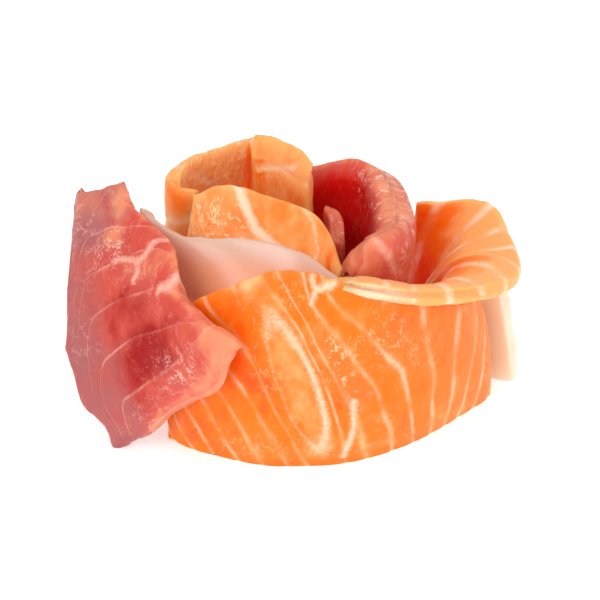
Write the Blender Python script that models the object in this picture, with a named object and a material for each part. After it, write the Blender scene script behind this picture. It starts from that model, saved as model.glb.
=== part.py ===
"""A sashimi rose: slices of raw salmon, tuna and white fish, curled round each other and stood on their cut edges.

Each slice starts as a flat sheet of its true cut size. A lattice bends the sheet to its place in the rose,
Solidify gives it its thickness and Bevel rounds its cut edges. Sizes are in millimetres.
"""

from math import log, pi, sin

import bmesh
import bpy
from mathutils import Vector

MM = 0.001
FACET = 4.2  # longest side of a sheet's facets
WIDE_CORNER = 1.5  # a cut edge rounder than this takes two facets
BOARD_SIZE = 200.0  # the cutter that trims every foot flat
ROSE = "rose"

# flesh: colour, roughness
FLESH = {
    "salmon_flesh": ((0.92, 0.33, 0.09), 0.32),
    "tuna_flesh": ((0.55, 0.09, 0.09), 0.35),
    "white_flesh": ((0.85, 0.66, 0.55), 0.30),
}

FOOT = -1.0  # standing slices start this far below the board, and are trimmed to it

# Each slice is stretched between a foot edge and a rim edge. Both edges are curves through a few points, and a row
# below gives one pair of them: foot (x, y) or (x, y, z), rim (x, y, z), and how far the slice bellies out between.
# "swell" is the share of the way up where the belly is fullest, and "corner" rounds the cut edges.
SLICES = {
    # the long slice round the front
    "salmon_wall": {
        "flesh": "salmon_flesh",
        "thickness": 5.0,
        "swell": 0.5,
        "corner": 1.0,
        "edges": (
            ((-26, -18.7), (-25.5, -18.7, 24), 0.3),
            ((-19, -23.5), (-18, -23.4, 33), 1.8),
            ((-7, -28.5), (-6, -25.8, 39.4), 3.5),
            ((1, -28.8), (1.5, -26.3, 40.2), 3.9),
            ((7.5, -27.9), (7.2, -26.8, 35.2), 3.4),
            ((16, -24), (16, -25, 33.6), 2.4),
            ((24, -17.5), (23.3, -19, 29.4), 2.2),
            ((31.5, -9.5), (30.1, -11.9, 24.7), 1.7),
            ((36.8, -3), (33.6, -4.2, 22.6), 1.2),
            ((36.8, 3), (34.2, 3, 21), 1),
        ),
    },
    # the flared slice that stands behind the roll and lies over the right of the wall
    "salmon_petal": {
        "flesh": "salmon_flesh",
        "thickness": 3.4,
        "swell": 0.5,
        "corner": 1.1,
        "edges": (
            ((6.3, -21.2, 35), (6.5, -28, 38.9), -0.5),
            ((12, -17.5, 29), (15, -29, 37.3), -2.4),
            ((20, -13, 24.5), (25.5, -25.8, 34.7), -2.8),
            ((27.2, -7.8, 22), (36.5, -20.2, 32.9), -3.6),
            ((28.2, 1, 17), (43.6, -9.8, 31), -6.2),
            ((30, 8), (43.2, 6, 31.8), -10),
            ((28.4, 15), (38.6, 15.5, 35), -6),
            ((24.6, 19.6), (25, 20.4, 32.8), -0.5),
        ),
    },
    # the tuna slice that leans on the left
    "tuna_drape": {
        "flesh": "tuna_flesh",
        "thickness": 5.4,
        "swell": 0.42,
        "corner": 0.8,
        "edges": (
            ((-36.8, -23.6), (-42.8, 0.2, 44.4), 8),
            ((-31, -25.6, 4), (-41.4, -2.5, 45), 7.3),
            ((-24, -29, 11.5), (-38.5, -2.5, 45.3), 6.6),
            ((-17.2, -33.5, 18.5), (-36.5, -2, 45.8), 6),
            ((-11.2, -36.2, 28), (-34.4, -1.8, 46), 4.4),
        ),
    },
    # the white slice between the wall and the curls
    "white_band": {
        "flesh": "white_flesh",
        "thickness": 2.4,
        "swell": 0.68,
        "corner": 0.8,
        "edges": (
            ((-30.4, -3), (-31.8, -1.6, 42), 0),
            ((-28.8, -6.5), (-29.6, -4, 41.6), 0.6),
            ((-25.8, -11), (-26.6, -7.5, 40.8), 1.7),
            ((-19, -16.5), (-21, -12, 40.5), 3.1),
            ((-9, -22), (-10, -14, 41), 6.7),
            ((0, -22.5), (0, -15.5, 39), 7.3),
            ((6, -20), (8.6, -16.5, 33.4), 2.9),
        ),
    },
    # the curl at the left, from its front edge round the back
    "salmon_curl_back": {
        "flesh": "salmon_flesh",
        "thickness": 3.2,
        "swell": 0.5,
        "corner": 0.7,
        "edges": (
            ((-21.4, 0.9), (-21.2, 1, 44.6), 0),
            ((-24, 0.8), (-23.9, 1, 45.4), 0),
            ((-26, 3.4), (-25.6, 3.8, 46.4), 0),
            ((-24.5, 9), (-23.5, 9, 47.5), 0.3),
            ((-20, 13), (-19, 12.5, 48), 0.3),
            ((-14.5, 14.5), (-14, 13.8, 49), 0.3),
            ((-9, 16.3), (-9.3, 15.6, 49.8), 0.3),
        ),
    },
    # the domed slice in front of it
    "salmon_curl_front": {
        "flesh": "salmon_flesh",
        "thickness": 4.5,
        "swell": 0.6,
        "corner": 1.1,
        "edges": (
            ((-21.6, -8.4), (-21.2, -3.6, 45.4), 3.7),
            ((-15, -14), (-15, -2.6, 47), 7),
            ((-6, -16), (-8, -3.5, 45), 7.4),
            ((2, -15), (2.2, -5, 41.5), 5.9),
            ((7.8, -11.5), (8.2, -10, 32.3), 1.8),
        ),
    },
    # the thick slice between the two rolls
    "salmon_curl_right": {
        "flesh": "salmon_flesh",
        "thickness": 7.0,
        "swell": 0.5,
        "corner": 0.6,
        "edges": (
            ((-9.3, 7.7), (-9.7, 8.3, 53), 0.3),
            ((-5, 8.7), (-5, 9.2, 51.2), 0.3),
            ((-1, 8.7), (-1.3, 9.2, 49.2), 0.3),
            ((2.9, 8), (2.1, 8.5, 46.5), 0.3),
        ),
    },
    # the rolled tuna at the right
    "tuna_roll": {
        "flesh": "tuna_flesh",
        "thickness": 8.2,
        "swell": 0.6,
        "corner": 3.4,
        "edges": (
            ((-1, 18.8), (-1.5, 18.2, 39), 0.3),
            ((5, 18.6), (4.2, 17.8, 42.4), 0.6),
            ((12, 17.6), (11, 15.8, 44.8), 1),
            ((17.6, 13.6), (16.4, 12, 44), 1.4),
            ((20.5, 6), (18.6, 5.2, 42), 1),
            ((20.6, -1.8), (19, -3, 39.6), 0.7),
            ((16.4, -8.6), (15.2, -9.2, 39.8), 0.6),
            ((9.4, -9.8), (8.8, -10.2, 36.2), -0.4),
        ),
    },
    # the thin piece inside that roll
    "tuna_sliver": {
        "flesh": "tuna_flesh",
        "thickness": 3.0,
        "swell": 0.5,
        "corner": 0.9,
        "edges": (
            ((6, 9), (5.5, 8, 38), 0.4),
            ((8.2, 4), (7.2, 3.5, 38), 0.5),
            ((9.5, -1), (8, -2, 35), 0.8),
        ),
    },
    # the white slice tucked in behind the right end of the wall
    "white_fold": {
        "flesh": "white_flesh",
        "thickness": 3.2,
        "swell": 0.5,
        "corner": 1.0,
        "edges": (
            ((45.6, 2.8), (41.4, 3.8, 25), 0.5),
            ((41.6, 4.2), (37.8, 5.2, 24.5), 0.5),
            ((37.6, 5.8), (35, 6.6, 21.5), 0.3),
            ((34.8, 7.6), (33, 8.2, 18), 0.2),
        ),
    },
}

ROWS = 6  # rows of lattice points from foot to rim


def stations_of(spec):
    """Every slice's lattice points, station by station and each from foot to rim."""
    feet = [Vector((*foot, FOOT)) if len(foot) == 2 else Vector(foot) for foot, rim, belly in spec["edges"]]
    rims = [Vector(rim) for foot, rim, belly in spec["edges"]]
    skew = log(0.5) / log(spec["swell"])
    stations = []
    for number, (foot, rim) in enumerate(zip(feet, rims)):
        before, after = max(number - 1, 0), min(number + 1, len(feet) - 1)
        along = (feet[after] + rims[after]) - (feet[before] + rims[before])
        out = along.cross(rim - foot).normalized() * spec["edges"][number][2]
        shares = [row / (ROWS - 1) for row in range(ROWS)]
        stations.append([foot.lerp(rim, share) + out * sin(pi * share**skew) for share in shares])
    return stations


def line_length(points):
    """Length of the line through these points."""
    return sum((b - a).length for a, b in zip(points, points[1:]))


def cut_size(stations):
    """Length and width of the slice before it was bent, in millimetres."""
    middle = [station[ROWS // 2] for station in stations]
    widths = [line_length(station) for station in stations]
    return line_length(middle), sum(widths) / len(widths)


def flat_sheet(name, length, width):
    """A flat grid of quads, centred on its own origin."""
    mesh = bpy.data.meshes.new(name)
    grid = bmesh.new()
    bmesh.ops.create_grid(
        grid,
        x_segments=max(2, round(length / FACET)),
        y_segments=max(2, round(width / FACET)),
        size=0.5,
    )
    bmesh.ops.scale(grid, vec=(length * MM, width * MM, 1), verts=grid.verts)
    grid.to_mesh(mesh)
    grid.free()
    sheet = bpy.data.objects.new(name, mesh)
    bpy.context.scene.collection.objects.link(sheet)
    return sheet


def bending_lattice(name, stations, length, width):
    """A lattice over the flat sheet, with its points moved to the stations. A lattice cell is one unit long."""
    data = bpy.data.lattices.new(name)
    data.points_u = len(stations)
    data.points_v = len(stations[0])
    data.points_w = 1
    data.interpolation_type_u = "KEY_CATMULL_ROM"
    data.interpolation_type_v = "KEY_CATMULL_ROM"
    cell_length = length / (data.points_u - 1)
    cell_width = width / (data.points_v - 1)
    for level in range(data.points_v):
        for number, station in enumerate(stations):
            x, y, z = station[level]
            place = Vector((x / cell_length, y / cell_width, z * MM))
            data.points[level * data.points_u + number].co_deform = place
    lattice = bpy.data.objects.new(name, data)
    lattice.scale = (cell_length * MM, cell_width * MM, 1)
    bpy.context.scene.collection.objects.link(lattice)
    return lattice


def flesh_material(name):
    """A Principled material in the colour of one kind of fish."""
    found = bpy.data.materials.get(name)
    if found:
        return found
    colour, roughness = FLESH[name]
    material = bpy.data.materials.new(name)
    material.use_nodes = True
    shader = material.node_tree.nodes["Principled BSDF"]
    shader.inputs["Base Color"].default_value = (*colour, 1)
    shader.inputs["Roughness"].default_value = roughness
    shader.inputs["Metallic"].default_value = 0
    return material


def board_cutter(parent):
    """A block whose top is the surface the rose stands on. It trims the feet flat."""
    mesh = bpy.data.meshes.new("board_cutter")
    block = bmesh.new()
    bmesh.ops.create_cube(block, size=BOARD_SIZE * MM)
    block.to_mesh(mesh)
    block.free()
    cutter = bpy.data.objects.new("board_cutter", mesh)
    cutter.location = (0, 0, -BOARD_SIZE * MM / 2)
    cutter.hide_render = True
    cutter.display_type = "WIRE"
    cutter.parent = parent
    bpy.context.scene.collection.objects.link(cutter)
    return cutter


def cut_slice(name, spec, parent, board):
    """One slice of fish: sheet, bend, thickness, rounded edges and a foot trimmed to the board."""
    stations = stations_of(spec)
    length, width = cut_size(stations)
    piece = flat_sheet(name, length, width)
    lattice = bending_lattice(name + "_bend", stations, length, width)
    for obj in (piece, lattice):
        obj.parent = parent
    piece.data.materials.append(flesh_material(spec["flesh"]))

    bend = piece.modifiers.new("Bend", "LATTICE")
    bend.object = lattice

    thicken = piece.modifiers.new("Thicken", "SOLIDIFY")
    thicken.thickness = spec["thickness"] * MM
    thicken.offset = 0

    soften = piece.modifiers.new("Soften", "BEVEL")
    soften.width = spec["corner"] * MM
    soften.segments = 2 if spec["corner"] > WIDE_CORNER else 1
    soften.limit_method = "ANGLE"

    trim = piece.modifiers.new("Trim", "BOOLEAN")
    trim.operation = "DIFFERENCE"
    trim.solver = "EXACT"
    trim.object = board
    return piece


def centre_on_origin(parent, pieces):
    """Moves the rose so that its box stands with the middle of its base at the origin."""
    bpy.context.view_layer.update()
    graph = bpy.context.evaluated_depsgraph_get()
    corners = [
        piece.matrix_world @ vertex.co
        for piece in pieces
        for vertex in piece.evaluated_get(graph).data.vertices
    ]
    for axis in (0, 1):
        values = [corner[axis] for corner in corners]
        parent.location[axis] = -(min(values) + max(values)) / 2


def build():
    for obj in list(bpy.data.objects):
        bpy.data.objects.remove(obj, do_unlink=True)
    rose = bpy.data.objects.new(ROSE, None)
    bpy.context.scene.collection.objects.link(rose)
    board = board_cutter(rose)
    pieces = [cut_slice(name, spec, rose, board) for name, spec in SLICES.items()]
    bpy.context.view_layer.update()
    for piece in pieces:
        piece.data.shade_smooth()
    centre_on_origin(rose, pieces)


build()
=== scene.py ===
"""Dresses a sashimi rose. Every slice is cut from a flat sheet, bent, thickened and given its flesh.

Sizes are in millimetres unless a property has its own unit. The slices stand where the frame's nodes stand.
"""

from math import cos, log, pi, radians, sin

import bpy
import numpy as np
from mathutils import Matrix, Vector, noise


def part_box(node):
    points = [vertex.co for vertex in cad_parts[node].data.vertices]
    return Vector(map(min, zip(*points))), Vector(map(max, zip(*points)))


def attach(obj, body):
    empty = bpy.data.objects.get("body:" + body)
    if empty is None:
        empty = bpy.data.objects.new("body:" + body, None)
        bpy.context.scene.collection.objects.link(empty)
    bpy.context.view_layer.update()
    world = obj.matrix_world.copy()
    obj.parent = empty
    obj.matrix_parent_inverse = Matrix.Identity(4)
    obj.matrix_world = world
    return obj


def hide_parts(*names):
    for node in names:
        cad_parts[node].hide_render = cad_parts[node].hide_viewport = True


bl_info = {
    "name": "Sashimi rose",
    "version": (1, 0, 0),
    "blender": (4, 5, 0),
    "location": "View3D > Sidebar > Sashimi",
    "description": "Cuts and rolls the slices of a sashimi rose and sets its stage",
    "category": "Object",
}

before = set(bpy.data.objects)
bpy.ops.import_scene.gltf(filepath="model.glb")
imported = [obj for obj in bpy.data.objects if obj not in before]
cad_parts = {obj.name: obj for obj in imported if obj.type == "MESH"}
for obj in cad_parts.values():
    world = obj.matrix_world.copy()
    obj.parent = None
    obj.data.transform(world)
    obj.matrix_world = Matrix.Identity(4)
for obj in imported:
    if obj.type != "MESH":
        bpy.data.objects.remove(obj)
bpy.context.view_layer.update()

MM = 0.001
BODY = "root"
ROLL_PLACE = Vector((0.28, 7.24, 0.0))  # where the middle of the roll stands in the frame
FOOT = -1.0  # standing slices start this far under the board and are trimmed to it
BOARD_NEAR = 1e-6  # metres within which a point counts as on the board
ROWS = 6  # rows of lattice points from foot to rim
THIN = 0.35  # share of its thickness that a tapered edge keeps
FAR = 9.0  # a distance past which nothing shows
MISS_ALLOWED = 2.0  # how far a slice's box may be from its node's box

FEWEST_CELLS = 8  # a sheet has at least this many cells each way
OUTLINE_REACH = 4.0  # how far in from the outline the sheet wanders with it
OUTLINE_WAVES = (("X", "outline_x", 3.1), ("Y", "outline_y", 2.6))  # axis, name and size of the wandering
SWELL, SWELL_SIZE = 0.5, 9.0  # how much the flesh swells, and over what distance
GROOVE = 0.18  # depth of the grooves along the lines of fat
SIDE_DEPTH = 0.25  # how far the flesh's pattern shifts from one side of a slice to the other, in centimetres
NOISE_GAIN = 1.6  # brings Blender's noise to about -1 to 1
PATCH_SEED, GRAIN_SEED, COOL_SEED, RING_SEED = 3.0, 7.0, 9.0, 5.0

AIM_HEIGHT = 0.0205  # height that the camera and the lights look at, in metres
LIGHTS = (  # name, place and side in metres, and share of the key light's power
    ("key_light", (-0.45, -0.62, 0.55), 0.5, 1.0),
    ("fill_light", (0.75, -0.45, 0.4), 0.6, 0.6),
    ("top_light", (0.1, -0.1, 0.9), 0.4, 0.8),
)

# Each slice is stretched between a foot edge and a rim edge. A row gives one pair of points on them: foot
# (x, y) or (x, y, z), rim (x, y, z), and how far the slice bellies out between. "swell" is where up the slice
# the belly is fullest. "corner" is the radius of its cut edges, and "taper" how far in from its start, end,
# foot and rim it thins.
SLICES = {
    "salmon_wall": {
        "thickness": 5.0,
        "swell": 0.5,
        "corner": 1.0,
        "edges": (
            ((-26, -18.7), (-25.5, -18.7, 24), 0.3),
            ((-19, -23.5), (-18, -23.4, 33), 1.8),
            ((-7, -28.5), (-6, -25.8, 39.4), 3.5),
            ((1, -28.8), (1.5, -26.3, 40.2), 3.9),
            ((7.5, -27.9), (7.2, -27, 38.7), 3.4),
            ((16, -24), (16, -25.6, 34.9), 2.4),
            ((24, -17.5), (23.3, -19.6, 30.6), 2.2),
            ((31.5, -9.5), (30.1, -12.2, 25.7), 1.7),
            ((36.8, -3), (33.6, -4.4, 23), 1.2),
            ((36.8, 3), (34.2, 3, 21), 1),
        ),
    },
    "salmon_petal": {
        "thickness": 3.4,
        "swell": 0.5,
        "corner": 1.1,
        "taper": (9, 0, 4, 0),
        "edges": (
            ((4.8, -22, 36), (4.6, -28.8, 39), -0.5),
            ((12, -17.5, 29), (15, -29, 37.3), -2.4),
            ((18.8, -13.4, 23.6), (25.5, -25.8, 34.7), -2.8),
            ((25, -8.8, 20.8), (36.5, -20.2, 32.9), -3.8),
            ((28.2, 1, 17), (43.6, -9.8, 31), -6.2),
            ((30, 8), (43.2, 6, 31.8), -10),
            ((28.4, 15), (38.6, 15.5, 35), -6),
            ((24.6, 19.6), (25, 20.4, 32.8), -0.5),
        ),
    },
    "tuna_drape": {
        "thickness": 5.4,
        "swell": 0.42,
        "corner": 0.8,
        "taper": (0, 0, 7, 0),
        "edges": (
            ((-36.8, -23.6), (-42.8, 0.2, 44.4), 8),
            ((-31, -25.6, 4), (-41.4, -2.5, 45), 7.3),
            ((-24, -29, 11.5), (-38.5, -2.5, 45.3), 6.6),
            ((-17.2, -33.5, 18.5), (-36.5, -2, 45.8), 6),
            ((-11.2, -36.2, 28), (-34.4, -1.8, 46), 4.4),
        ),
    },
    "white_band": {
        "thickness": 2.4,
        "swell": 0.68,
        "corner": 0.8,
        "edges": (
            ((-30.4, -3), (-31.8, -1.6, 42), 0),
            ((-28.8, -6.5), (-29.6, -4, 41.6), 0.6),
            ((-25.8, -11), (-26.6, -7.5, 40.8), 1.7),
            ((-19, -16.5), (-21, -12, 40.5), 3.1),
            ((-9, -22), (-10, -14, 41), 6.7),
            ((0, -22.5), (0, -15.5, 39), 7.3),
            ((6, -20), (8.6, -16.5, 33.4), 2.9),
        ),
    },
    "salmon_curl_back": {
        "thickness": 3.2,
        "swell": 0.5,
        "corner": 0.7,
        "edges": (
            ((-21.4, 0.9), (-21.2, 1, 44.6), 0),
            ((-24, 0.8), (-23.9, 1, 45.4), 0),
            ((-26, 3.4), (-25.6, 3.8, 46.4), 0),
            ((-24.5, 9), (-23.5, 9, 47.5), 0.3),
            ((-20, 13), (-19, 12.5, 48), 0.3),
            ((-14.5, 14.5), (-14, 13.8, 49), 0.3),
            ((-9, 16.3), (-9.3, 15.6, 49.8), 0.3),
        ),
    },
    "salmon_curl_front": {
        "thickness": 4.5,
        "swell": 0.6,
        "corner": 1.1,
        "edges": (
            ((-21.6, -8.4), (-21.2, -3.6, 45.4), 3.7),
            ((-15, -14), (-15, -2.6, 47), 7),
            ((-6, -16), (-8, -3.5, 45), 7.4),
            ((2, -15), (2.2, -5, 41.5), 5.9),
            ((7.8, -11.5), (8.2, -10, 32.3), 1.8),
        ),
    },
    "salmon_curl_right": {
        "thickness": 7.0,
        "swell": 0.5,
        "corner": 0.6,
        "edges": (
            ((-9.3, 7.7), (-9.7, 8.3, 53), 0.3),
            ((-5, 8.7), (-5, 9.2, 51.2), 0.3),
            ((-1, 8.7), (-1.3, 9.2, 49.2), 0.3),
            ((2.9, 8), (2.1, 8.5, 46.5), 0.3),
        ),
    },
    "tuna_roll": {
        "thickness": 8.2,
        "swell": 0.6,
        "corner": 3.4,
        "edges": (
            ((-1, 18.8), (-1.5, 18.2, 39), 0.3),
            ((5, 18.6), (4.2, 17.8, 42.4), 0.6),
            ((12, 17.6), (11, 15.8, 44.8), 1),
            ((17.6, 13.6), (16.4, 12, 44), 1.4),
            ((20.5, 6), (18.6, 5.2, 42), 1),
            ((20.6, -1.8), (19, -3, 39.6), 0.7),
            ((16.4, -8.6), (15.2, -9.2, 39.8), 0.6),
            ((9.4, -9.8), (8.8, -10.2, 36.2), -0.4),
        ),
    },
    "tuna_sliver": {
        "thickness": 3.0,
        "swell": 0.5,
        "corner": 0.9,
        "edges": (
            ((6, 9), (5.5, 8, 38), 0.4),
            ((8.2, 4), (7.2, 3.5, 38), 0.5),
            ((9.5, -1), (8, -2, 35), 0.8),
        ),
    },
    "white_fold": {
        "thickness": 3.2,
        "swell": 0.5,
        "corner": 1.0,
        "edges": (
            ((45.6, 2.8), (41.4, 3.8, 25), 0.5),
            ((41.6, 4.2), (37.8, 5.2, 24.5), 0.5),
            ((37.6, 5.8), (35, 6.6, 21.5), 0.3),
            ((34.8, 7.6), (33, 8.2, 18), 0.2),
        ),
    },
}


# ---------------------------------------------------------------- cutting and bending


def stations_of(spec):
    """Every slice's lattice points, station by station and each from foot to rim."""
    feet = [Vector((*foot, FOOT)) if len(foot) == 2 else Vector(foot) for foot, rim, depth in spec["edges"]]
    rims = [Vector(rim) for foot, rim, depth in spec["edges"]]
    skew = log(0.5) / log(spec["swell"])
    stations = []
    for number, (foot, rim) in enumerate(zip(feet, rims)):
        before, after = max(number - 1, 0), min(number + 1, len(feet) - 1)
        along = (feet[after] + rims[after]) - (feet[before] + rims[before])
        out = along.cross(rim - foot).normalized() * spec["edges"][number][2]
        shares = [row / (ROWS - 1) for row in range(ROWS)]
        belly = [out * sin(pi * share**skew) for share in shares]
        stations.append([foot.lerp(rim, share) + bulge + ROLL_PLACE for share, bulge in zip(shares, belly)])
    return stations


def line_length(points):
    """Length of the line through these points."""
    return sum((b - a).length for a, b in zip(points, points[1:]))


def select_only(*objects):
    """Nothing but these objects is selected, and the first is active."""
    bpy.ops.object.select_all(action="DESELECT")
    for obj in objects:
        obj.select_set(True)
    bpy.context.view_layer.objects.active = objects[0]


def apply_modifier(obj, kind, **settings):
    """Adds a modifier to the object with these settings and applies it."""
    select_only(obj)
    modifier = obj.modifiers.new(kind.title(), kind)
    for name, value in settings.items():
        setattr(modifier, name, value)
    bpy.ops.object.modifier_apply(modifier=modifier.name)


def flat_sheet(name, length, width, cell):
    """A flat sheet of fish of that length and width, in cells of that size, centred on the origin."""
    columns, rows = (max(FEWEST_CELLS, round(side / cell)) for side in (length, width))
    bpy.ops.object.select_all(action="DESELECT")
    bpy.ops.mesh.primitive_grid_add(x_subdivisions=columns, y_subdivisions=rows, size=1)
    sheet = bpy.context.object
    sheet.name = sheet.data.name = name
    bpy.ops.transform.resize(value=(length * MM, width * MM, 1))
    bpy.ops.object.transform_apply(location=True, rotation=True, scale=True)
    return sheet, columns + 1, rows + 1


def push(sheet, start, by, reach):
    """Pulls the flat sheet's outline by that much at one place, and what lies within reach with it."""
    points = points_of(sheet)[:, :2]
    nearest = int(np.argmin(np.linalg.norm(points - np.array(start), axis=1)))
    select_only(sheet)
    bpy.ops.object.mode_set(mode="EDIT")
    bpy.ops.mesh.select_all(action="DESELECT")
    bpy.ops.object.mode_set(mode="OBJECT")
    sheet.data.vertices[nearest].select = True
    bpy.ops.object.mode_set(mode="EDIT")
    bpy.ops.transform.translate(
        value=(by[0] * MM, by[1] * MM, 0),
        use_proportional_edit=True,
        proportional_edit_falloff="SMOOTH",
        proportional_size=reach * MM,
    )
    bpy.ops.object.mode_set(mode="OBJECT")


def points_of(obj):
    """The object's vertices in millimetres, one row each."""
    flat = np.empty(len(obj.data.vertices) * 3)
    obj.data.vertices.foreach_get("co", flat)
    return flat.reshape(-1, 3) / MM


def bend(sheet, stations, length, width):
    """Bends the flat sheet with a lattice whose points stand at the stations."""
    bpy.ops.object.select_all(action="DESELECT")
    bpy.ops.object.add(type="LATTICE")
    lattice = bpy.context.object
    data = lattice.data
    data.points_u, data.points_v, data.points_w = len(stations), len(stations[0]), 1
    data.interpolation_type_u = data.interpolation_type_v = "KEY_CATMULL_ROM"
    span = data.points[-1].co - data.points[0].co
    lattice.scale = (length * MM / span.x, width * MM / span.y, 1)
    for level in range(data.points_v):
        for number, station in enumerate(stations):
            place = Vector(at * MM / scale for at, scale in zip(station[level], lattice.scale))
            data.points[level * data.points_u + number].co_deform = place
    bpy.context.view_layer.update()
    apply_modifier(sheet, "LATTICE", object=lattice)
    bpy.data.objects.remove(lattice, do_unlink=True)


def ramp(values, start, end):
    """0 up to start, 1 from end on, and straight between. End may be the lower one."""
    return np.clip((values - start) / (end - start), 0, 1)


def peak(values, middle, reach):
    """1 at the middle, falling to 0 at reach from it."""
    return np.clip(1 - np.abs(values - middle) / reach, 0, 1)


class Cut:
    """The measures of a bent slice at each of its points.

    Run and rise are millimetres along and up the slice, and s and t the same as shares of it.
    """

    def __init__(self, sheet, columns, rows):
        places = points_of(sheet).reshape(rows, columns, 3)
        self.x, self.y, self.z = (places[..., axis].ravel() for axis in range(3))
        along = np.linalg.norm(np.diff(places, axis=1), axis=2)
        up = np.linalg.norm(np.diff(places, axis=0), axis=2)
        run = np.concatenate([np.zeros((rows, 1)), along.cumsum(1)], 1)
        rise = np.concatenate([np.zeros((1, columns)), up.cumsum(0)], 0)
        self.edges = [away.ravel() for away in (run, run[:, -1:] - run, rise, rise[-1:] - rise)]
        self.border = np.minimum.reduce(self.edges)
        middle = columns // 2
        self.run = (run - run[:, middle : middle + 1] + run[rows // 2, middle]).ravel()
        self.rise = rise.ravel()
        share = np.meshgrid(np.linspace(0, 1, columns), np.linspace(0, 1, rows))
        self.s, self.t = share[0].ravel(), share[1].ravel()

    def rough(self, size, seed=0.0):
        """Smooth noise from -1 to 1 with features of that size, the same on every run."""
        places = zip(self.x / size, self.y / size, self.z / size)
        return np.array([noise.noise((x + seed, y - seed, z + 2 * seed)) for x, y, z in places]) * NOISE_GAIN

    def patches(self, size=12):
        """Uneven colour, from -1 to 1."""
        return self.rough(size, PATCH_SEED)

    def grain(self):
        """Uneven wetness, from -1 to 1."""
        return self.rough(11, GRAIN_SEED)

    def nowhere(self):
        """A distance at which no line shows, for every point."""
        return np.full(len(self.run), FAR)

    def spot(self, run, rise, along, up, turn=0.0):
        """1 at that place, fading to 0 that many millimetres from it. Turn tips the patch, in radians."""
        wide, high = self.run - run, self.rise - rise
        wide, high = wide * cos(turn) + high * sin(turn), high * cos(turn) - wide * sin(turn)
        return np.exp(-2 * ((wide / along) ** 2 + (high / up) ** 2))

    def from_line(self, points):
        """Distance to the line through these places on the slice, in millimetres."""
        here = np.stack([self.run, self.rise], 1)
        nearest = self.nowhere()
        for start, end in zip(points, points[1:]):
            start, step = np.array(start), np.subtract(end, start)
            share = np.clip((here - start) @ step / (step @ step), 0, 1)
            away = np.linalg.norm(here - start - share[:, None] * step, axis=1)
            nearest = np.minimum(nearest, away)
        return nearest


def store(sheet, name, values):
    """Keeps one number for each point of the sheet, for the flesh to read."""
    made = sheet.data.attributes.new(name, "FLOAT", "POINT")
    made.data.foreach_set("value", np.broadcast_to(values, len(sheet.data.vertices)).astype(np.float32))


def weigh(sheet, name, weights):
    """A vertex group with these weights."""
    group = sheet.vertex_groups.new(name=name)
    steps = np.round(np.clip(weights, 0, 1), 2)
    for step in np.unique(steps):
        group.add(np.flatnonzero(steps == step).tolist(), float(step), "REPLACE")
    return group


def lay_map(sheet, cut):
    """The sheet's own map, in centimetres of fish."""
    layer = sheet.data.uv_layers.active
    layer.name = "cut"
    corners = np.empty(len(sheet.data.loops), dtype=np.int64)
    sheet.data.loops.foreach_get("vertex_index", corners)
    places = np.stack([cut.run, cut.rise], 1)[corners] / 10
    layer.uv.foreach_set("vector", places.astype(np.float32).ravel())


def thicken(sheet, cut, thickness, corner, taper):
    """Gives the sheet its thickness with rounded cut edges, and cells across them for the flesh to swell."""
    inside = np.clip(cut.border / corner, 0, 1)
    half = thickness / 2 - corner + corner * np.sqrt(1 - (1 - inside) ** 2)
    for reach, away in zip(taper, cut.edges):
        if reach:
            half *= THIN + (1 - THIN) * np.sin(np.clip(away / reach, 0, 1) * pi / 2)
    weigh(sheet, "thickness", half / (thickness / 2))
    count = len(sheet.data.vertices)
    apply_modifier(sheet, "SOLIDIFY", thickness=thickness * MM, offset=0, vertex_group="thickness")
    store(sheet, "side", np.repeat((1, -1), count))
    mesh = sheet.data
    select_only(sheet)
    bpy.ops.object.mode_set(mode="EDIT")
    bpy.ops.mesh.select_mode(type="EDGE")
    bpy.ops.mesh.select_all(action="DESELECT")
    bpy.ops.object.mode_set(mode="OBJECT")
    ends = np.empty(len(mesh.edges) * 2, dtype=np.int64)
    mesh.edges.foreach_get("vertices", ends)
    across = np.abs(ends[::2] - ends[1::2]) == count
    mesh.edges.foreach_set("select", across)
    bpy.ops.object.mode_set(mode="EDIT")
    bpy.ops.mesh.subdivide(number_cuts=max(1, round(thickness) - 1))
    bpy.ops.mesh.select_mode(type="VERT")
    bpy.ops.object.mode_set(mode="OBJECT")


def trim_to_board(piece):
    """Cuts off what would be under the board and closes the cut."""
    select_only(piece)
    bpy.ops.object.mode_set(mode="EDIT")
    bpy.ops.mesh.select_all(action="SELECT")
    bpy.ops.mesh.bisect(
        plane_co=(0, 0, 0), plane_no=(0, 0, -1), threshold=BOARD_NEAR, use_fill=True, clear_outer=True
    )
    bpy.ops.mesh.select_all(action="SELECT")
    bpy.ops.mesh.normals_make_consistent(inside=False)
    bpy.ops.object.mode_set(mode="OBJECT")


def cloud(name, size):
    """A soft noise texture for modifiers, with features of that size."""
    texture = bpy.data.textures.get(name) or bpy.data.textures.new(name, "CLOUDS")
    texture.noise_scale = size * MM
    texture.noise_depth = 1
    return texture


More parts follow.
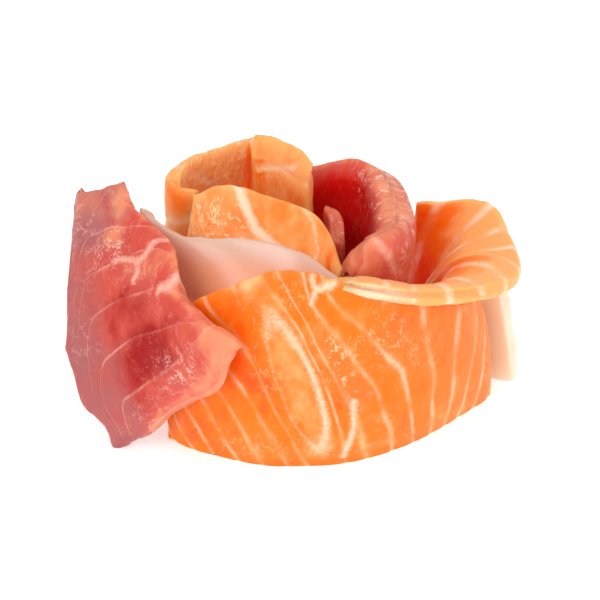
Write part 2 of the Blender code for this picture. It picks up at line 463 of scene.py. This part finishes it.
def cut_slice(context, name, pushes=(), ragged=1.0):
    """One slice, bent to its place and still without thickness. Returns it with its measures.

    A push is a place in shares of the slice, how far it's pulled and what reach goes with it. Ragged is how
    ragged the cut edges are beside the setting.
    """
    spec = SLICES[name]
    settings = context.scene.sashimi_cut
    cell = settings.cell / MM
    stations = stations_of(spec)
    length = line_length([station[ROWS // 2] for station in stations])
    width = sum(line_length(station) for station in stations) / len(stations)
    sheet, columns, rows = flat_sheet(name + "_slice", length, width, cell)
    for (s, t), by, reach in pushes:
        push(sheet, ((s - 0.5) * length, (t - 0.5) * width), by, reach)
    flat = points_of(sheet)
    near = np.minimum(length / 2 - np.abs(flat[:, 0]), width / 2 - np.abs(flat[:, 1]))
    weigh(sheet, "outline", 1 - near / OUTLINE_REACH)
    for axis, texture, size in OUTLINE_WAVES:
        apply_modifier(
            sheet,
            "DISPLACE",
            direction=axis,
            texture=cloud(texture, size),
            strength=ragged * 2 * settings.ragged,
            vertex_group="outline",
        )
    bend(sheet, stations, length, width)
    cut = Cut(sheet, columns, rows)
    lay_map(sheet, cut)
    return sheet, cut


def finish_slice(name, sheet, cut, flesh):
    """Thickness, relief, foot, flesh and place in the frame."""
    spec = SLICES[name]
    weigh(sheet, "grooves", cut.groove)
    thicken(sheet, cut, spec["thickness"], spec["corner"], spec.get("taper", ()))
    apply_modifier(sheet, "DISPLACE", strength=-GROOVE * MM, mid_level=0.0, vertex_group="grooves")
    apply_modifier(sheet, "DISPLACE", texture=cloud("swell", SWELL_SIZE), strength=SWELL * MM)
    trim_to_board(sheet)
    sheet.vertex_groups.clear()
    sheet.data.shade_smooth()
    sheet.data.materials.clear()
    sheet.data.materials.append(flesh)
    places = points_of(sheet) * MM
    low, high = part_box(name)
    miss = max(np.abs(places.min(0) - low).max(), np.abs(places.max(0) - high).max())
    if miss > MISS_ALLOWED * MM:
        raise RuntimeError(f"{name} misses its node by {miss / MM:.1f} mm")
    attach(sheet, BODY)
    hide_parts(name)
    print(f"SLICE {name}: {len(sheet.data.vertices)} points, misses by {miss / MM:.2f} mm")


# ---------------------------------------------------------------- flesh


def add(tree, kind, sockets=None, **settings):
    """Adds a shader node. A socket takes a number, a colour or another node's output."""
    made = tree.nodes.new("ShaderNode" + kind)
    for name, value in settings.items():
        setattr(made, name, value)
    for key, value in (sockets or {}).items():
        if isinstance(value, bpy.types.NodeSocket):
            tree.links.new(value, made.inputs[key])
        else:
            made.inputs[key].default_value = value
    return made


def maths(tree, operation, *values):
    """The result of one sum."""
    return add(tree, "Math", dict(enumerate(values)), operation=operation).outputs[0]


def mixed(tree, share, first, second):
    """A colour between two."""
    return add(tree, "Mix", {0: share, 6: first, 7: second}, data_type="RGBA").outputs[2]


def ranged(tree, value, low, high, to_low=0.0, to_high=1.0):
    """The value's place between low and high, eased at both ends."""
    sockets = {0: value, 1: low, 2: high, 3: to_low, 4: to_high}
    return add(tree, "MapRange", sockets, interpolation_type="SMOOTHSTEP").outputs[0]


def stored(tree, name):
    """What store() kept under that name."""
    return add(tree, "Attribute", attribute_name=name).outputs["Fac"]


def place_in_slice(tree):
    """Run, rise and depth in the slice, in centimetres."""
    shift = maths(tree, "MULTIPLY", stored(tree, "side"), SIDE_DEPTH)
    depth = add(tree, "CombineXYZ", {"Z": shift}).outputs[0]
    sockets = {0: add(tree, "UVMap", uv_map="cut").outputs[0], 1: depth}
    return add(tree, "VectorMath", sockets, operation="ADD").outputs[0]


def speckle(tree, vector, scale, detail=2.0, roughness=0.5):
    """Noise from 0 to 1."""
    sockets = {"Vector": vector, "Scale": scale, "Detail": detail, "Roughness": roughness}
    return add(tree, "TexNoise", sockets).outputs["Fac"]


def new_flesh(name):
    """An empty material with a shader and an output. Returns the material, its nodes and the shader."""
    material = bpy.data.materials.new(name)
    material.use_nodes = True
    tree = material.node_tree
    return material, tree, tree.nodes["Principled BSDF"]


def red_flesh(name, settings, turn=0.0, width=0.11, shade=0.0, lines=1.0, dimmed=1.0):
    """Flesh with pale lines of fat between layers, fine fibres, a wet grain and painted glints, shade and
    sheen.

    Turn is the fibres' slant, width the lines' share of a layer, shade how much darker the flesh is beside a
    line, lines how strong they are beside the setting and dimmed how bright the deepest flesh is.
    """
    material, tree, shader = new_flesh(name)
    cut = place_in_slice(tree)
    fuzz = maths(tree, "SUBTRACT", speckle(tree, cut, 15.0, 3.0), 0.5)
    layers = maths(tree, "MULTIPLY_ADD", fuzz, width, stored(tree, "layers"))
    gap = maths(tree, "PINGPONG", layers, 0.5)
    patchy = ranged(tree, speckle(tree, cut, 1.7), 0.34, 0.66, 0.12, 1.0)
    line = maths(tree, "MULTIPLY", ranged(tree, gap, 0.0, width, 1.0, 0.0), patchy)
    mark = ranged(tree, maths(tree, "MULTIPLY_ADD", fuzz, 1.1, stored(tree, "mark")), -0.3, 1.0, 1.0, 0.0)
    line = maths(tree, "MULTIPLY", line, lines * settings.line_strength)
    fat = maths(tree, "MAXIMUM", line, maths(tree, "MULTIPLY", mark, 0.85))

    sockets = {"Vector": cut, "Rotation": (0, 0, turn), "Scale": (13.0, 7.0, 7.0)}
    turned = add(tree, "Mapping", sockets).outputs[0]
    fibres = speckle(tree, turned, 1.0, 3.0, 0.6)
    streaks = speckle(tree, turned, 0.3, 2.0)
    mottle = speckle(tree, cut, 2.6, 4.0, 0.6)
    # painted light: the flesh is paler within 1.8 mm of a cut edge, for the edge catching the light and
    # glowing through
    rim = ranged(tree, stored(tree, "border"), 0.0, 1.8, 1.0, 0.0)
    # painted shade: one side of the slice is made deeper where it lies in a fold or hollow
    fold = maths(tree, "MAXIMUM", maths(tree, "MULTIPLY", stored(tree, "side"), stored(tree, "fold")), 0.0)
    tone = maths(tree, "SUBTRACT", stored(tree, "tone"), fold)
    tone = maths(tree, "MULTIPLY_ADD", maths(tree, "SUBTRACT", mottle, 0.5), 1.1, tone)
    tone = maths(tree, "MULTIPLY_ADD", maths(tree, "SUBTRACT", streaks, 0.5), 0.9, tone)
    tone = maths(tree, "MULTIPLY_ADD", rim, 0.35, tone)
    tone = maths(tree, "MULTIPLY_ADD", ranged(tree, gap, 0.02, 0.3, 1.0, 0.0), 0.35 - shade, tone)
    above_line = ranged(tree, maths(tree, "FRACT", layers), 0.02, 0.4, 1.0, 0.0)
    tone = maths(tree, "MULTIPLY_ADD", above_line, -shade, tone)
    # the deepest colour serves the flesh's own deeper patches and the painted shade in folds
    deepest = (*(part * dimmed for part in settings.deep), 1)
    deep = mixed(tree, ranged(tree, tone, -1.0, 0.0), deepest, (*settings.flesh, 1))
    flesh = mixed(tree, ranged(tree, tone, 0.0, 1.0), deep, (*settings.pale, 1))
    # painted sheen: the sheen colour, a reflection of the bright room, is mixed in by the stored share
    flesh = mixed(tree, ranged(tree, stored(tree, "cool"), 0.0, 1.0), flesh, (*settings.cool, 1))
    veined = mixed(tree, fat, flesh, (*settings.fat, 1))
    wet = ranged(tree, stored(tree, "wet"), 0.0, 1.0, 0.05, 1.0)
    # painted highlights: pale glint flecks along the fibres, mixed into the colour where the flesh is wet
    ridge = maths(tree, "ABSOLUTE", maths(tree, "SUBTRACT", fibres, 0.5))
    broken = maths(tree, "MULTIPLY", ranged(tree, speckle(tree, cut, 6.0), 0.48, 0.62), wet)
    glints = maths(tree, "MULTIPLY", ranged(tree, ridge, 0.01, 0.05, 1.0, 0.0), broken)
    colour = mixed(tree, maths(tree, "MULTIPLY", glints, 0.8), veined, (*settings.painted_glint, 1))

    fibre_height = maths(tree, "MULTIPLY", fibres, maths(tree, "ADD", wet, 0.12))
    height = maths(tree, "MULTIPLY_ADD", fat, -0.1, fibre_height)
    bump = add(tree, "Bump", {"Strength": 0.8, "Distance": 0.0008, "Height": height})
    tree.links.new(colour, shader.inputs["Base Color"])
    tree.links.new(bump.outputs[0], shader.inputs["Normal"])
    tree.links.new(bump.outputs[0], shader.inputs["Coat Normal"])
    tree.links.new(ranged(tree, mottle, 0.3, 0.7, 0.28, 0.46), shader.inputs["Roughness"])
    shader.inputs["Subsurface Weight"].default_value = 0.6
    shader.inputs["Subsurface Radius"].default_value = (1.0, 0.35, 0.12)
    shader.inputs["Subsurface Scale"].default_value = 0.005
    shader.inputs["Specular IOR Level"].default_value = 0.15
    tree.links.new(maths(tree, "MULTIPLY", wet, 0.4), shader.inputs["Coat Weight"])
    shader.inputs["Coat Roughness"].default_value = 0.1
    return material


def white_flesh(name, settings):
    """Pale, half clear flesh, with the glow of the salmon behind it painted in where its tone is low."""
    material, tree, shader = new_flesh(name)
    cut = place_in_slice(tree)
    mottle = speckle(tree, cut, 3.0, 3.0)
    tone = maths(tree, "MULTIPLY_ADD", maths(tree, "SUBTRACT", mottle, 0.5), 0.4, stored(tree, "tone"))
    # painted glow: the salmon's orange showing through the thin white flesh, where the tone is low
    salmon_glow = mixed(tree, ranged(tree, tone, -1.0, 0.0), (*settings.salmon_glow, 1), (*settings.flesh, 1))
    flesh = mixed(tree, ranged(tree, tone, 0.0, 1.0), salmon_glow, (*settings.pale, 1))
    mark = ranged(tree, stored(tree, "mark"), -0.2, 1.2, 1.0, 0.0)
    colour = mixed(tree, maths(tree, "MULTIPLY", mark, 0.8), flesh, (*settings.streak, 1))
    turned = add(tree, "Mapping", {"Vector": cut, "Scale": (5.0, 22.0, 1.0)}).outputs[0]
    height = speckle(tree, turned, 1.0, 2.0)
    bump = add(tree, "Bump", {"Strength": 0.15, "Distance": 0.0005, "Height": height})
    tree.links.new(colour, shader.inputs["Base Color"])
    tree.links.new(bump.outputs[0], shader.inputs["Normal"])
    shader.inputs["Roughness"].default_value = 0.34
    shader.inputs["Subsurface Weight"].default_value = 0.6
    shader.inputs["Subsurface Radius"].default_value = (1.0, 0.6, 0.45)
    shader.inputs["Subsurface Scale"].default_value = 0.007
    shader.inputs["Coat Weight"].default_value = 0.3
    shader.inputs["Coat Roughness"].default_value = 0.2
    return material


# ---------------------------------------------------------------- settings


def colour_property(name, description, default):
    """A colour that can be picked in the panel."""
    return bpy.props.FloatVectorProperty(
        name=name, description=description, subtype="COLOR", size=3, min=0, max=1, default=default
    )


def length_property(name, description, default):
    """A length in metres."""
    return bpy.props.FloatProperty(name=name, description=description, unit="LENGTH", min=0, default=default)


def line_strength_property(default):
    """How much of the fat's colour its lines take."""
    return bpy.props.FloatProperty(
        name="Lines", description="Strength of the pale lines", min=0, max=1, default=default
    )


def amount_property(name, description, default, **settings):
    """A number that isn't below 0."""
    return bpy.props.FloatProperty(name=name, description=description, min=0, default=default, **settings)


class SalmonSettings(bpy.types.PropertyGroup):
    """The salmon's colours and lines."""

    flesh: colour_property("Flesh", "Orange of the flesh", (0.93, 0.188, 0.006))
    # deep colour: the flesh's own deeper patches, and the painted shade in folds and hollows
    deep: colour_property("Deep flesh", "Orange in the folds", (0.98, 0.085, 0.0005))
    # pale colour: the flesh's own paler patches and fat sides, and the painted light along thin cut edges
    pale: colour_property("Pale flesh", "Orange of the thin edges and beside the fat", (0.95, 0.40, 0.13))
    fat: colour_property("Fat", "Colour of the fat lines", (0.97, 0.69, 0.50))
    # painted sheen colour, a reflection of the bright room; the salmon slices don't show it
    cool: colour_property("Cool flesh", "Pink of the flesh that has paled", (0.95, 0.47, 0.30))
    # painted highlight: colour of the glint flecks painted into the flesh
    painted_glint: colour_property("Glints", "Colour of the wet grain", (1.0, 0.74, 0.42))
    line_gap: length_property("Line gap", "Distance between two fat lines", 0.0056)
    line_strength: line_strength_property(0.5)


class TunaSettings(bpy.types.PropertyGroup):
    """The tuna's colours and arcs."""

    flesh: colour_property("Flesh", "Red of the flesh", (0.60, 0.08, 0.055))
    # deep colour: the flesh's own deeper patches, and the painted shade in folds and hollows
    deep: colour_property("Deep flesh", "Red in the folds", (0.64, 0.006, 0.005))
    pale: colour_property("Pale flesh", "Pink of the thin edges", (0.78, 0.28, 0.145))
    fat: colour_property("Arcs", "Colour of the pale arcs", (0.86, 0.48, 0.38))
    # painted sheen: the mauve reflection of the bright room on flesh that faces away
    cool: colour_property("Cool flesh", "Mauve of the flesh that faces away", (0.40, 0.115, 0.115))
    # painted highlight: colour of the glint flecks painted into the flesh
    painted_glint: colour_property("Glints", "Colour of the wet grain", (0.95, 0.60, 0.50))
    line_strength: line_strength_property(0.45)


class WhiteSettings(bpy.types.PropertyGroup):
    """The white fish's colours."""

    flesh: colour_property("Flesh", "Colour of the flesh", (0.65, 0.41, 0.32))
    pale: colour_property("Rim", "Colour of the thin rim", (0.87, 0.69, 0.53))
    # painted glow: orange of the salmon showing through the white flesh
    salmon_glow: colour_property("Foot", "Colour low down between the salmon slices", (0.80, 0.34, 0.20))
    streak: colour_property("Streak", "Colour of the blood line", (0.55, 0.16, 0.06))


class CutSettings(bpy.types.PropertyGroup):
    """How finely the slices are modelled."""

    cell: length_property("Cell", "Side of the mesh cells", 0.0004)
    cell_quick: length_property("Quick cell", "Side of the mesh cells in a quick look", 0.0007)
    ragged: length_property("Ragged edge", "How far the cut edges wander", 0.0003)


class StageSettings(bpy.types.PropertyGroup):
    """Floor, light and camera."""

    floor_side: length_property("Floor", "Side of the floor", 3.0)
    floor_colour: colour_property("Floor colour", "Colour of the floor", (0.93, 0.93, 0.93))
    floor_glow: amount_property("Floor glow", "Light from the floor", 0.42)
    sky: amount_property("Sky", "Strength of the light all round", 0.66)
    key: amount_property("Key light", "Power of the softbox", 2.8, subtype="POWER")
    distance: length_property("Camera distance", "From the camera to the middle of the rose", 0.5)
    tilt: bpy.props.FloatProperty(
        name="Camera tilt", description="Camera's angle above the board", subtype="ANGLE", default=radians(28)
    )
    lens: bpy.props.FloatProperty(
        name="Lens", description="Focal length of the camera", unit="CAMERA", default=147.0
    )


# ---------------------------------------------------------------- the slices


def groove_of(layers, gap, width=0.7):
    """1 on every line between layers, fading to 0 that many millimetres away."""
    away = np.abs(layers - np.round(layers)) * gap
    return np.exp(-((away / width) ** 2))


def keep(sheet, cut, groove, **looks):
    """Stores what the flesh reads, and the grooves for the relief.

    Layers counts the layers of flesh, with a line of fat at each whole number. Tone runs from deep at -1 to
    pale at 1, and in places carries painted shade and painted light; wet is how much the grain glints,
    painted as pale flecks in the colour, and mark is the distance to a drawn line. The sheen share is how
    much of the painted sheen colour shows, a reflection of the bright room. The shade share is painted shade,
    deeper flesh on
    one side only: the side that the belly swells to, or the other one if it's negative.
    """
    cut.groove = groove
    for name, values in {"cool": 0.0, "fold": 0.0, **looks, "border": cut.border}.items():
        store(sheet, name, values)


class SASHIMI_OT_salmon_wall(bpy.types.Operator):
    """Stand the long salmon slice round the front"""

    bl_idname = "sashimi.salmon_wall"
    bl_label = "Salmon wall"

    def execute(self, context):
        settings = context.scene.sashimi_salmon
        sheet, cut = cut_slice(context, "salmon_wall")
        gap = settings.line_gap / MM
        lean = np.interp(cut.run, (8, 31, 49, 60, 73, 88), (-0.85, -0.42, -0.27, -0.05, 0.37, 0.5))
        across = cut.run - lean * (cut.rise - 10)
        bow = 0.018 * (cut.rise - 10) ** 2 * np.exp(-(((cut.run - 42) / 9) ** 2))
        layers = (across + bow * 0.5 + 0.6 * cut.rough(8)) / gap - 0.7

        # the long lens of fat left of the middle
        over, up = cut.run - 31.1, cut.rise - 20.4
        tip, half_length, half_width = radians(18), 14, 3.4
        long = (up * cos(tip) - over * sin(tip)) / half_length
        wide = (over * cos(tip) + up * sin(tip)) / half_width
        ring = np.sqrt(long**2 + wide**2) + 0.06 * cut.rough(6, RING_SEED)
        inside = ramp(ring, 2, 1)
        between_lines = 5.5
        layers = layers * (1 - inside) + between_lines * inside
        mark = np.abs(ring - 1) * half_width + 0.2 - 0.35 * wide / np.maximum(ring, 0.3)
        mark = np.minimum(mark, cut.from_line(((34.3, 37.2), (35.4, 39.6), (34.6, 41.5))) - 0.1)
        mark = np.minimum(mark, cut.from_line(((35.4, 39.6), (38.5, 40.4))) - 0.2)
        mark = np.minimum(mark, cut.from_line(((41.3, 17), (41.6, 11), (40, 4))) - 0.2)

        tone = 0.22 * cut.patches() + 0.7 * ramp(ring, 1.4, 0.4)
        # painted shade: the first two spots make the wall darker at the left and low down, where the tuna
        # drape shades it
        tone -= 0.85 * cut.spot(20, 24, 7, 20, 0.5) + 0.3 * cut.spot(12, 8, 9, 8)
        tone -= 0.4 * cut.spot(54, 30, 12, 7)
        # painted highlights: the spots set where glint flecks are painted in
        wet = 0.1 + 0.3 * cut.grain() + 1.2 * cut.spot(38, 25, 4, 13, 0.35)
        wet += 0.9 * cut.spot(42, 19, 4, 4) + 0.5 * cut.spot(60, 24, 12, 8)
        keep(sheet, cut, groove_of(layers, gap), layers=layers, tone=tone, wet=wet, mark=mark)
        flesh = red_flesh("salmon_wall_flesh", settings, turn=-0.4, width=0.14)
        finish_slice("salmon_wall", sheet, cut, flesh)
        return {"FINISHED"}


class SASHIMI_OT_salmon_petal(bpy.types.Operator):
    """Lay the flared salmon slice over the right of the wall"""

    bl_idname = "sashimi.salmon_petal"
    bl_label = "Salmon petal"

    def execute(self, context):
        settings = context.scene.sashimi_salmon
        sheet, cut = cut_slice(context, "salmon_petal")
        gap = settings.line_gap / MM
        rays = 11
        layers = rays * cut.s + 0.02 * cut.rise + 0.1 * cut.rough(7)
        # painted shade: the lower part and the far end are deeper on one side, in the hollow beside the roll
        within = 2.0 * ramp(cut.t, 0.8, 0.4) + 1.4 * ramp(cut.s, 0.86, 0.96) * (cut.t < 0.97)
        fold = -within * ramp(cut.s, 0.3, 0.55)
        tone = 0.2 * cut.patches(9) + 1.0 + 0.5 * peak(cut.s, 0.4, 0.15)
        wet = 0.15 + 0.3 * cut.grain()
        from_rim = cut.edges[3]
        mark = from_rim - 0.35 + 9 * np.abs(cut.s - 0.13)
        keep(sheet, cut, groove_of(layers, gap), layers=layers, tone=tone, wet=wet, mark=mark, fold=fold)
        flesh = red_flesh("salmon_petal_flesh", settings, turn=1.2, width=0.2, lines=1.6)
        finish_slice("salmon_petal", sheet, cut, flesh)
        return {"FINISHED"}


CURL_GAP = 12  # distance between two lines in the curls


def curl_looks(name, cut):
    """Layers, tone, wetness, marks and painted shade of one of the curls in the heart."""
    fold = 0.0
    mark = cut.nowhere()
    if name == "salmon_curl_front":
        layers = np.full(len(cut.run), 0.5)
        tone = 0.5 - 1.2 * cut.spot(34, 34, 3, 5) + 0.5 * ramp(cut.s, 0.9, 1)
        # painted highlights: a patch of glint flecks
        wet = 0.1 + 1.5 * cut.spot(9.5, 44, 8, 7)
        mark = cut.from_line(((12.2, 53), (14.8, 47.5), (16.8, 43.6), (22, 39))) - 0.5
        mark = np.minimum(mark, cut.from_line(((25, 49), (28.4, 44), (29.5, 39), (28, 36))) + 0.25)
    elif name == "salmon_curl_back":
        layers = (cut.rise + 0.7 * cut.run) / 14
        # painted light: paler past a third of the way along, lifting the inner side where it lies in shade
        tone = 0.5 + 0.9 * (cut.s > 0.3)
        # painted shade: the end and the lower part are deeper on one side, in the pocket of the heart
        fold = 1.8 * ramp(cut.s, 0.86, 0.96) + 1.08 * ramp(cut.t, 0.84, 0.54)
        # painted highlights: a patch of glint flecks, also lifting the inner side where it lies in shade
        wet = 0.2 + 1.5 * cut.spot(17, 46, 12, 8)
    else:
        layers = (cut.rise + 0.4 * cut.run) / 11 + 0.4
        # painted shade: deeper near the start, on the left end that lies in shade
        tone = 0.6 - 0.9 * peak(cut.s, 0.05, 0.12) * (cut.t < 0.93)
        wet = 0.15
        mark = cut.from_line(((0, 49.6), (9, 48.6))) + 0.1
    return {
        "layers": layers + 0.05 * cut.rough(8),
        "tone": tone + 0.2 * cut.patches(),
        "wet": wet + 0.3 * cut.grain(),
        "mark": mark,
        "fold": fold,
    }


class SASHIMI_OT_salmon_curls(bpy.types.Operator):
    """Roll the salmon slices of the heart"""

    bl_idname = "sashimi.salmon_curls"
    bl_label = "Salmon curls"

    def execute(self, context):
        settings = context.scene.sashimi_salmon
        for name in ("salmon_curl_back", "salmon_curl_front", "salmon_curl_right"):
            sheet, cut = cut_slice(context, name)
            looks = curl_looks(name, cut)
            keep(sheet, cut, groove_of(looks["layers"], CURL_GAP), **looks)
            finish_slice(name, sheet, cut, red_flesh(name + "_flesh", settings, turn=0.7))
        return {"FINISHED"}


class SASHIMI_OT_tuna_drape(bpy.types.Operator):
    """Lean the tuna slice on the left"""

    bl_idname = "sashimi.tuna_drape"
    bl_label = "Tuna drape"

    def execute(self, context):
        settings = context.scene.sashimi_tuna
        notches = (  # place in shares, pull, reach
            ((0.0, 0.12), (1.6, 0.6), 5),
            ((0.0, 0.42), (-1.6, 0), 6),
            ((1.0, 0.08), (1.2, 0), 5),
            ((1.0, 0.0), (-0.8, 1.2), 2.5),
            ((1.0, 0.6), (3.0, 0), 14),
            ((0.9, 0.0), (0, 1.2), 1.6),
            ((0.78, 0.0), (0.3, -1.2), 4),
            ((0.3, 0.0), (0, -0.8), 4),
        )
        sheet, cut = cut_slice(context, "tuna_drape", notches, ragged=4 / 3)
        gap, up = 8.0, 49 * cut.t
        steep = 45 * ramp(cut.s, 0.34, 0) ** 2.2
        fall = 7 * ramp(cut.s, 0.55, 1) ** 2 * (cut.t > 0.2)
        layers = (up + steep + fall - 0.2 + 0.3 * cut.rough(8)) / gap
        mark = cut.from_line(((15.5, 31.6), (19, 31), (22.5, 29.2), (26, 29.2)))
        mark = np.minimum(mark, cut.from_line(((20.6, 30), (20.8, 28), (19.2, 26.4)))) - 0.1
        mark = np.minimum(mark, cut.from_line(((25, 20), (27, 19), (29, 21.5))) - 0.3)
        tone = 0.15 * cut.patches(10) - 0.95 * cut.spot(17, 13, 14, 6.5) - 0.6 * cut.spot(18, 22, 12, 5)
        # the first spot pales the thin right tip: painted glow of light through the flesh
        tone += 1.0 * cut.spot(35, 7, 8, 9) + 0.9 * cut.spot(27, 2, 10, 3) + 0.6 * cut.spot(12, 1.5, 12, 2)
        tone += 0.6 * cut.spot(25, 22, 5, 12) + 0.8 * cut.spot(16, 36, 5, 4) - 0.3 * cut.spot(8, 7, 6, 6)
        # painted sheen: the top of the slice is paler, in stripes
        stripes = 0.65 + 0.35 * np.sin(cut.run * 1.3 + 0.4 * cut.rise)
        tone += 1.1 * ramp(cut.t, 0.74, 0.88) * stripes
        # painted sheen: the mauve reflection of the bright room on the left side that faces away, and on the
        # top
        cool = 0.95 * ramp(cut.run - 7 * (cut.t - 0.2), 13, 0)
        cool += 0.25 * cut.rough(6, COOL_SEED) + 0.3 * (cut.t > 0.8)
        # painted highlights: glint flecks all over, with two patches
        wet = 0.27 + 0.3 * cut.grain() + 0.8 * cut.spot(21, 8, 7, 4) + 0.8 * cut.spot(16, 35, 5, 5)
        groove = groove_of(layers, gap, 0.5)
        keep(sheet, cut, groove, layers=layers, tone=tone, wet=wet, mark=mark, cool=cool)
        flesh = red_flesh("tuna_drape_flesh", settings, turn=0.3, width=0.05, shade=0.25, dimmed=0.55)
        finish_slice("tuna_drape", sheet, cut, flesh)
        return {"FINISHED"}


class SASHIMI_OT_tuna_roll(bpy.types.Operator):
    """Roll the tuna at the right, with the sliver inside it"""

    bl_idname = "sashimi.tuna_roll"
    bl_label = "Tuna roll"

    def execute(self, context):
        settings = context.scene.sashimi_tuna
        round_end = (((1.0, 1.0), (-2.2, -2.6), 6), ((1.0, 0.9), (0.8, 0), 4))
        for name in ("tuna_roll", "tuna_sliver"):
            sheet, cut = cut_slice(context, name, round_end if name == "tuna_roll" else ())
            gap, plain_run = 14.0, 33
            across = cut.run + 0.5 * cut.rise + 0.4 * cut.rough(9)
            layers = np.where(cut.run < plain_run, 0.5, across / gap + 0.3)
            tone = 0.2 * cut.patches()
            wet = 0.3 + 0.3 * cut.grain()
            mark, fold = cut.nowhere(), 0.0
            if name == "tuna_roll":
                mark = cut.from_line(((43.8, 41), (42.7, 39.3), (40.9, 34.1))) + 0.1
                tone += 0.3
                # painted shade: the inside of the roll below its rim is deeper, on one side only
                fold = 2.1 * ramp(cut.t, 0.985, 0.865) * ramp(cut.run, 34, 18)
                # painted highlights: glint flecks over the rim and the right side
                wet += 1.5 * cut.spot(24, 43.5, 11, 6) + 0.7 * cut.spot(35, 38, 8, 8) - 0.25
            groove = groove_of(layers, gap, 0.5)
            keep(sheet, cut, groove, layers=layers, tone=tone, wet=wet, mark=mark, fold=fold)
            flesh = red_flesh(name + "_flesh", settings, turn=0.3, width=0.05, shade=0.25)
            finish_slice(name, sheet, cut, flesh)
        return {"FINISHED"}


class SASHIMI_OT_white_slices(bpy.types.Operator):
    """Set the white fish between the salmon slices and behind them"""

    bl_idname = "sashimi.white_slices"
    bl_label = "White slices"

    def execute(self, context):
        settings = context.scene.sashimi_white
        round_corner = (((0.0, 0.0), (1.2, 1.0), 3.5),)
        # the fold's tone of 1.5 is its own pale colour pushed paler as painted light, lifting it where the
        # wall shades it
        for name, pushes, tone in (("white_band", (), -0.1), ("white_fold", round_corner, 1.5)):
            sheet, cut = cut_slice(context, name, pushes)
            tone = tone + 0.2 * cut.patches()
            mark = cut.nowhere()
            if name == "white_band":
                # painted glow: below its top edge the band turns to the salmon's orange showing through it
                tone -= 8.8 * np.maximum(0.97 - cut.t, 0)
                mark = cut.from_line(((45, 41.5), (49, 40.3), (54, 36.5))) - 0.2
            keep(sheet, cut, np.zeros(len(cut.run)), tone=tone, mark=mark)
            finish_slice(name, sheet, cut, white_flesh(name + "_flesh", settings))
        return {"FINISHED"}


# ---------------------------------------------------------------- the stage


def softbox(name, place, aim, size, power):
    """A square light at that place that looks at aim."""
    bpy.ops.object.light_add(type="AREA", location=place)
    lamp = bpy.context.object
    lamp.name = name
    lamp.data.size = size
    lamp.data.energy = power
    lamp.rotation_euler = (Vector(place) - Vector(aim)).to_track_quat("Z", "Y").to_euler()
    return lamp


class SASHIMI_OT_stage(bpy.types.Operator):
    """Set the floor, the lights and the camera"""

    bl_idname = "sashimi.stage"
    bl_label = "Stage"

    def execute(self, context):
        scene = context.scene
        settings = scene.sashimi_stage
        middle = ROLL_PLACE * MM + Vector((0, 0, AIM_HEIGHT))

        bpy.ops.object.select_all(action="DESELECT")
        bpy.ops.mesh.primitive_plane_add(size=settings.floor_side)
        floor = context.object
        floor.name = "floor"
        paint, tree, shader = new_flesh("floor_paint")
        shader.inputs["Base Color"].default_value = (*settings.floor_colour, 1)
        shader.inputs["Roughness"].default_value = 0.8
        shader.inputs["Emission Color"].default_value = (1, 1, 1, 1)
        shader.inputs["Emission Strength"].default_value = settings.floor_glow
        floor.data.materials.append(paint)

        world = bpy.data.worlds.new("sky")
        scene.world = world
        world.use_nodes = True
        sky = world.node_tree.nodes["Background"]
        sky.inputs["Color"].default_value = (1, 1, 1, 1)
        sky.inputs["Strength"].default_value = settings.sky
        for name, place, side, share in LIGHTS:
            softbox(name, place, middle, side, settings.key * share)

        scene.view_settings.view_transform = "Standard"
        back = Vector((0, -np.cos(settings.tilt), np.sin(settings.tilt)))
        bpy.ops.object.camera_add(location=middle + back * settings.distance)
        camera = context.object
        camera.rotation_euler = back.to_track_quat("Z", "Y").to_euler()
        camera.data.lens = settings.lens
        camera.data.clip_start, camera.data.clip_end = 0.01, 10
        scene.camera = camera
        return {"FINISHED"}


class SASHIMI_PT_panel(bpy.types.Panel):
    """Lists the slices and the stage"""

    bl_idname = "SASHIMI_PT_panel"
    bl_label = "Sashimi rose"
    bl_space_type = "VIEW_3D"
    bl_region_type = "UI"
    bl_category = "Sashimi"

    def draw(self, context):
        for group in SETTINGS:
            box = self.layout.box()
            settings = getattr(context.scene, group)
            for name in settings.bl_rna.properties.keys():
                if name not in ("rna_type", "name"):
                    box.prop(settings, name)
        for operator in OPERATORS:
            self.layout.operator(operator.bl_idname)


SETTINGS = {
    "sashimi_salmon": SalmonSettings,
    "sashimi_tuna": TunaSettings,
    "sashimi_white": WhiteSettings,
    "sashimi_cut": CutSettings,
    "sashimi_stage": StageSettings,
}
OPERATORS = (
    SASHIMI_OT_salmon_wall,
    SASHIMI_OT_salmon_petal,
    SASHIMI_OT_salmon_curls,
    SASHIMI_OT_tuna_drape,
    SASHIMI_OT_tuna_roll,
    SASHIMI_OT_white_slices,
    SASHIMI_OT_stage,
)


def register():
    for group in (*SETTINGS.values(), *OPERATORS, SASHIMI_PT_panel):
        bpy.utils.register_class(group)
    for name, group in SETTINGS.items():
        setattr(bpy.types.Scene, name, bpy.props.PointerProperty(type=group))


def unregister():
    for name in SETTINGS:
        delattr(bpy.types.Scene, name)
    for group in (SASHIMI_PT_panel, *reversed(OPERATORS), *reversed(SETTINGS.values())):
        bpy.utils.unregister_class(group)


def main():
    register()
    bpy.ops.sashimi.salmon_wall()
    bpy.ops.sashimi.salmon_petal()
    bpy.ops.sashimi.salmon_curls()
    bpy.ops.sashimi.tuna_drape()
    bpy.ops.sashimi.tuna_roll()
    bpy.ops.sashimi.white_slices()
    bpy.ops.sashimi.stage()


if __name__ == "__main__":
    main()
